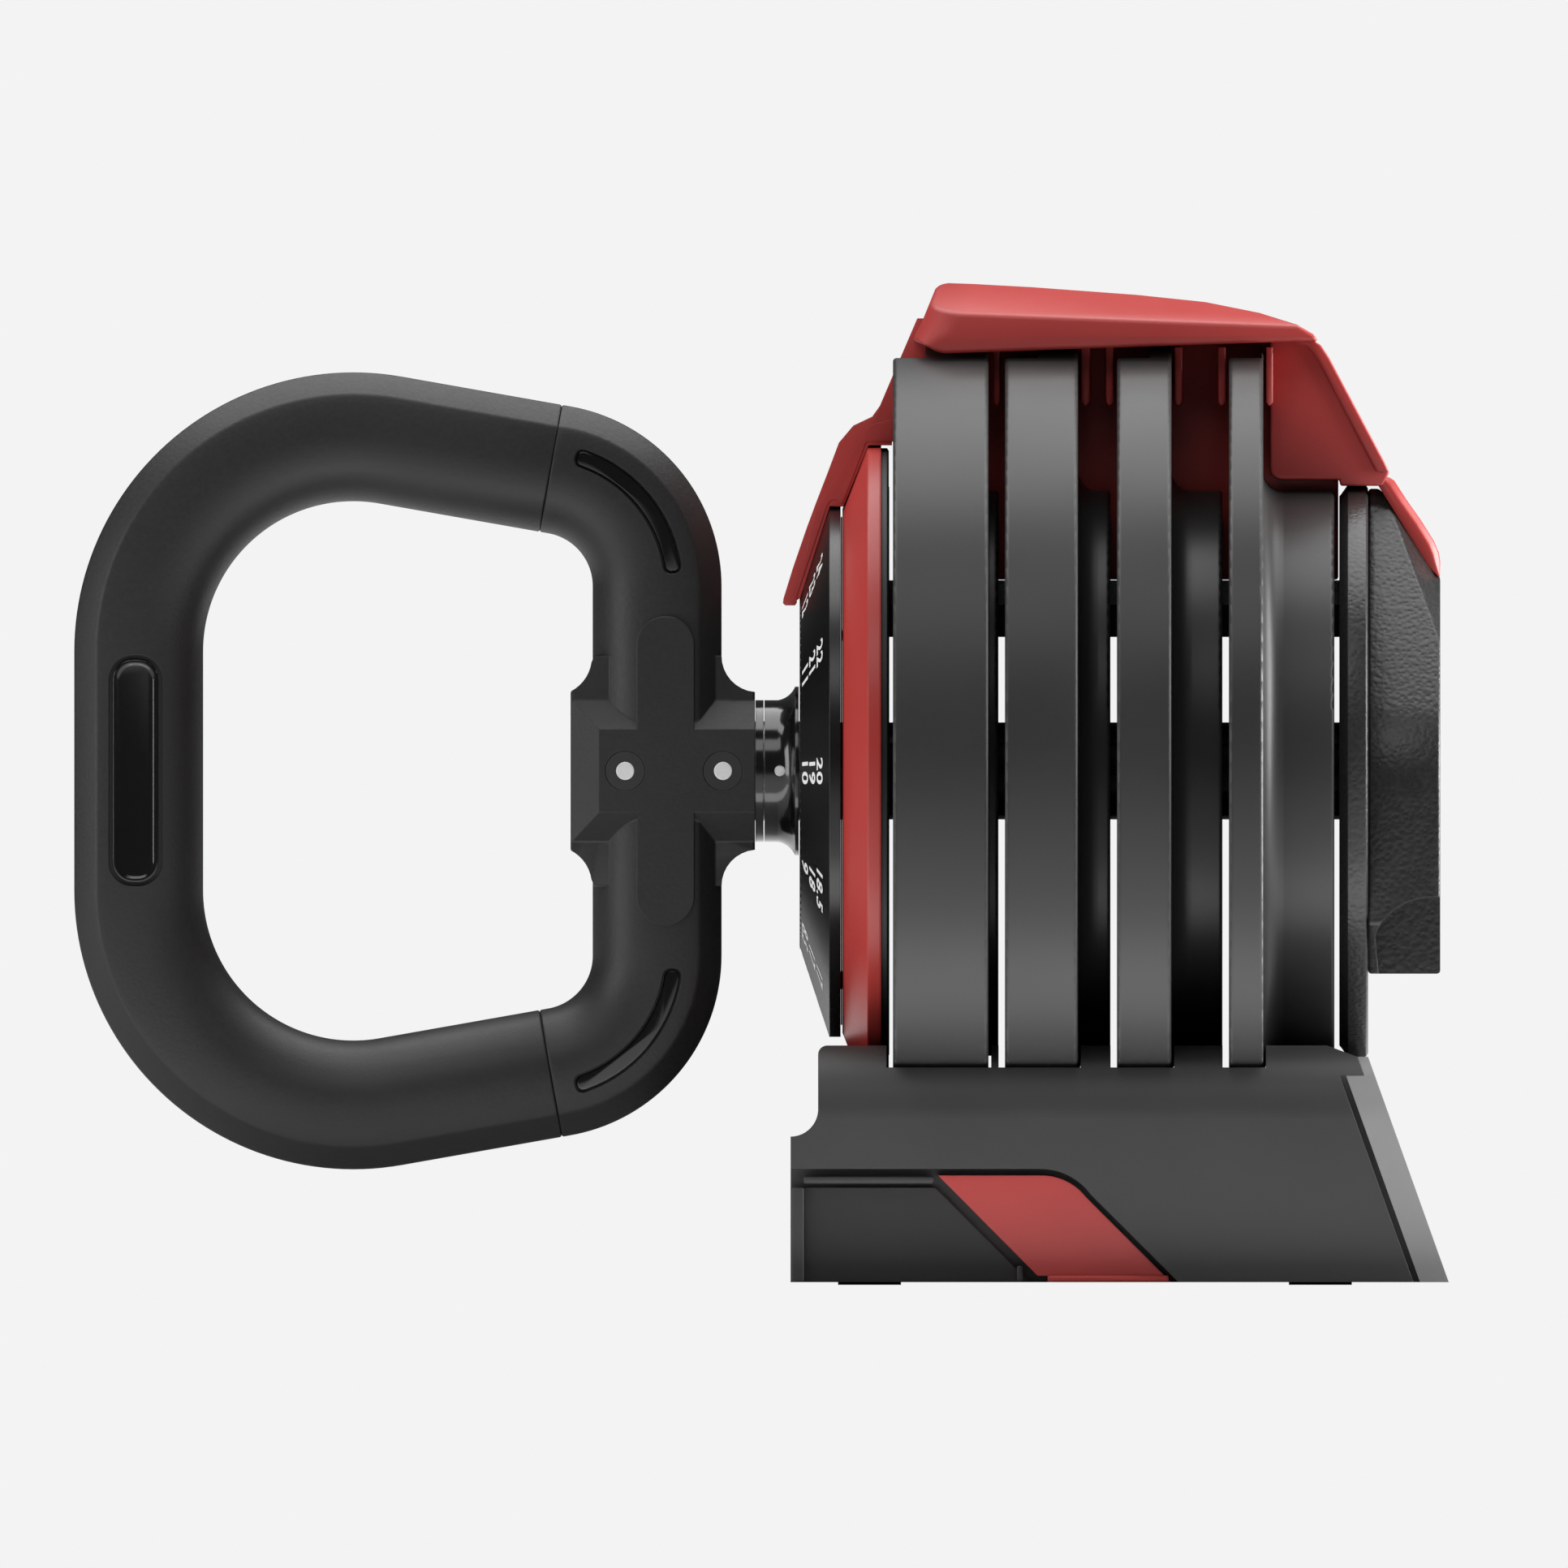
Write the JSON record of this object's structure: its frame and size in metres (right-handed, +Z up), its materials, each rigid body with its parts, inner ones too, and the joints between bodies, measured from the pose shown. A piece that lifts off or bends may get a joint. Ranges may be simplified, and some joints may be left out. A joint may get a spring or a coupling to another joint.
{
  "type": "adjustable kettlebell with storage tray",
  "caption": "Adjustable kettlebell lying in its storage tray: a D-ring handle, a weight dial, round plates under a red spine, and an end cap.",
  "frame": {"origin": "centre of the whole object in plan, on the surface that the tray stands on", "axes": "+Z up; +X from the handle to the end cap, along the head axis; -Y towards the viewer of the near grip label"},
  "size_m": [0.3049, 0.19, 0.2222],
  "materials": {
    "grip_black": "fine-grained black moulding over a steel bar",
    "gloss_black": "glossy black",
    "washer_black": "smooth black",
    "dial_black": "black with white printed figures",
    "dark_plastic": "plain black",
    "bush_plastic": "off-white bearing plastic",
    "grained_black": "black with a coarse leather-like grain",
    "tray_black": "fine-grained black",
    "tray_end": "smooth satin grey",
    "foot_rubber": "soft black rubber",
    "red_plastic": "satin red",
    "red_painted": "satin red paint",
    "black_painted": "satin black paint",
    "black_screws": "blackened steel",
    "zinc_screws": "zinc-plated steel",
    "steel": "plain steel",
    "dark_steel": "blackened steel",
    "polished_steel": "polished pin ends",
    "plate_iron": "dark grey satin coat"
  },
  "bodies": {
    "tray": {"tray_shell": "tray_black", "end_panel": "tray_end", "tray_base": "tray_black", "tray_screws": "black_screws", "rubber_feet": "foot_rubber", "side_panel_near": "tray_black", "side_panel_far": "tray_black", "side_accent_near": "red_plastic", "side_accent_far": "red_plastic", "lock_post": "steel"},
    "selector": {"dial": "dial_black", "selector_tube": "dark_steel", "cam_disc_1": "dark_steel", "cam_disc_2": "dark_steel", "cam_disc_3": "dark_steel", "cam_disc_4": "dark_steel"},
    "lock": {"lock_plunger": "steel"},
    "plate_1": {"plate_1": "plate_iron"},
    "plate_2": {"plate_2": "plate_iron"},
    "plate_3": {"plate_3": "plate_iron"},
    "plate_4": {"plate_4": "plate_iron"},
    "head": {"cap_screws": "black_screws", "detent_ball": "polished_steel", "detent_spring": "steel", "end_cap": "grained_black", "end_flange": "black_painted", "front_bush": "bush_plastic", "front_liner": "dark_plastic", "front_plate": "red_painted", "grip_arch": "grip_black", "grip_core": "steel", "grip_labels": "gloss_black", "grip_yoke": "grip_black", "liner_screws": "zinc_screws", "neck_collar": "gloss_black", "neck_pin": "polished_steel", "neck_ring": "gloss_black", "nut_washer": "zinc_screws", "plunger_spring": "steel", "pointer_arm": "red_plastic", "rail_carrier": "dark_plastic", "rear_bush": "bush_plastic", "retaining_pin": "polished_steel", "retaining_pin_washers": "washer_black", "rod_nut": "zinc_screws", "socket_pin": "polished_steel", "socket_pin_washers": "washer_black", "spindle": "steel", "spine_hood": "red_plastic", "spine_web": "red_plastic", "support_rail": "steel", "tail_strap": "red_plastic", "yoke_inlays_lower": "gloss_black", "yoke_inlays_upper": "gloss_black"}
  },
  "joints": [
    {"name": "kettlebell_lift", "type": "slide", "parent": "tray", "child": "head", "axis": [0, 0, 1], "range_m": [0, 0.12]},
    {"name": "dial_turn", "type": "hinge", "parent": "head", "child": "selector", "pos_m": [0, 0, 0.114], "axis": [-1, 0, 0], "range_deg": [0, 330]},
    {"name": "lock_drop", "type": "slide", "parent": "head", "child": "lock", "axis": [0, 0, -1], "range_m": [0, 0.004]},
    {"name": "plate_1_lift", "type": "slide", "parent": "tray", "child": "plate_1", "axis": [0, 0, 1], "range_m": [0, 0.12]},
    {"name": "plate_2_lift", "type": "slide", "parent": "tray", "child": "plate_2", "axis": [0, 0, 1], "range_m": [0, 0.12]},
    {"name": "plate_3_lift", "type": "slide", "parent": "tray", "child": "plate_3", "axis": [0, 0, 1], "range_m": [0, 0.12]},
    {"name": "plate_4_lift", "type": "slide", "parent": "tray", "child": "plate_4", "axis": [0, 0, 1], "range_m": [0, 0.12]}
  ],
  "couplings": [
    {"joint": "lock_drop", "follows": "kettlebell_lift", "ratio": 0.0333},
    {"joint": "plate_1_lift", "follows": "kettlebell_lift", "ratio": 1},
    {"joint": "plate_2_lift", "follows": "kettlebell_lift", "ratio": 1},
    {"joint": "plate_3_lift", "follows": "kettlebell_lift", "ratio": 1},
    {"joint": "plate_4_lift", "follows": "kettlebell_lift", "ratio": 1}
  ]
}
